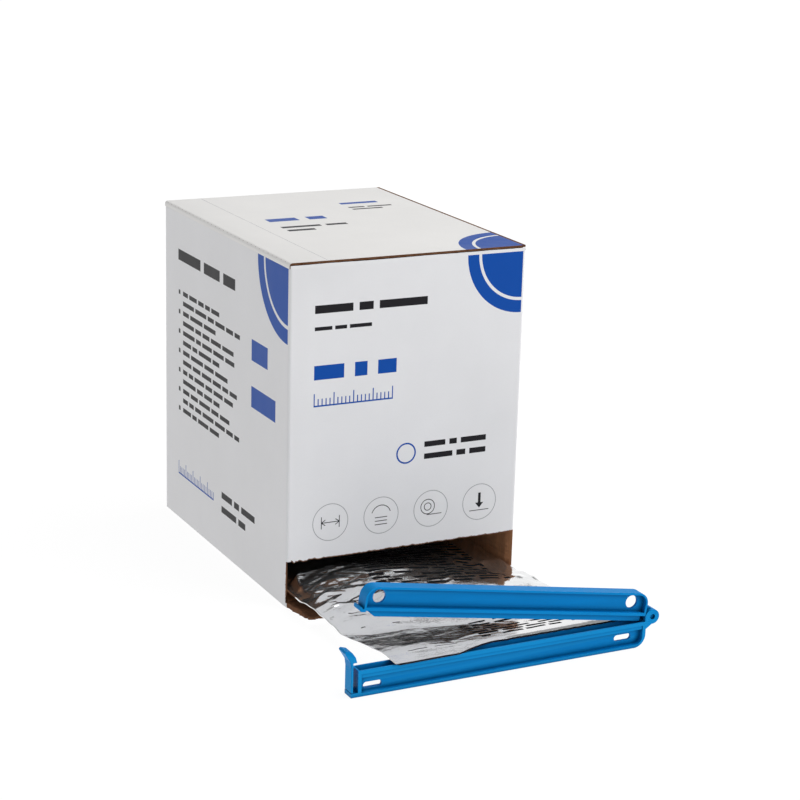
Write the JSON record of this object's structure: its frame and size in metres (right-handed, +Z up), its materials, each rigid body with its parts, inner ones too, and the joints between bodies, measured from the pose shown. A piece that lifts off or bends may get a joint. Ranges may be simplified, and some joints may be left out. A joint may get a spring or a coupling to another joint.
{
  "type": "padded splint roll in dispenser box with bag clamp",
  "caption": "Felt-padded splint strip in a foil sleeve, wound on a roll in a dispenser carton; a hinged clamp closes the drawn-out sleeve.",
  "frame": {"origin": "middle of the carton's underside, on the surface that it stands on", "axes": "+Z up, -Y the way the strip is drawn out of the front, +X to the right as seen from the front, towards the clamp's hinge"},
  "size_m": [0.1963, 0.331, 0.206],
  "materials": {
    "carton_board": null,
    "kraft_board": "raw brown inside of the corrugated board, torn edges",
    "wound_strip": "foil-sleeved felt strip, wound",
    "foil": "bright wrinkled laminate film",
    "felt": "white needled felt",
    "clamp_plastic": "satin moulded blue polypropylene"
  },
  "bodies": {
    "dispenser": {"carton_body": "carton_board", "carton_top_flap": "carton_board", "dispensing_lip": "kraft_board", "splint_roll": "wound_strip", "foil_sleeve": "foil", "splint_pad": "felt", "clamp_lower_arm": "clamp_plastic", "latch_tongue": "clamp_plastic", "hinge_pin": "clamp_plastic"},
    "clamp_upper": {"clamp_upper_arm": "clamp_plastic"}
  },
  "joints": [
    {"name": "clamp_hinge", "type": "hinge", "parent": "dispenser", "child": "clamp_upper", "pos_m": [0.0923, -0.226, 0.0172], "axis": [0, 1, 0], "range_deg": [-9.7, 110], "deforming": ["latch_tongue"]}
  ]
}
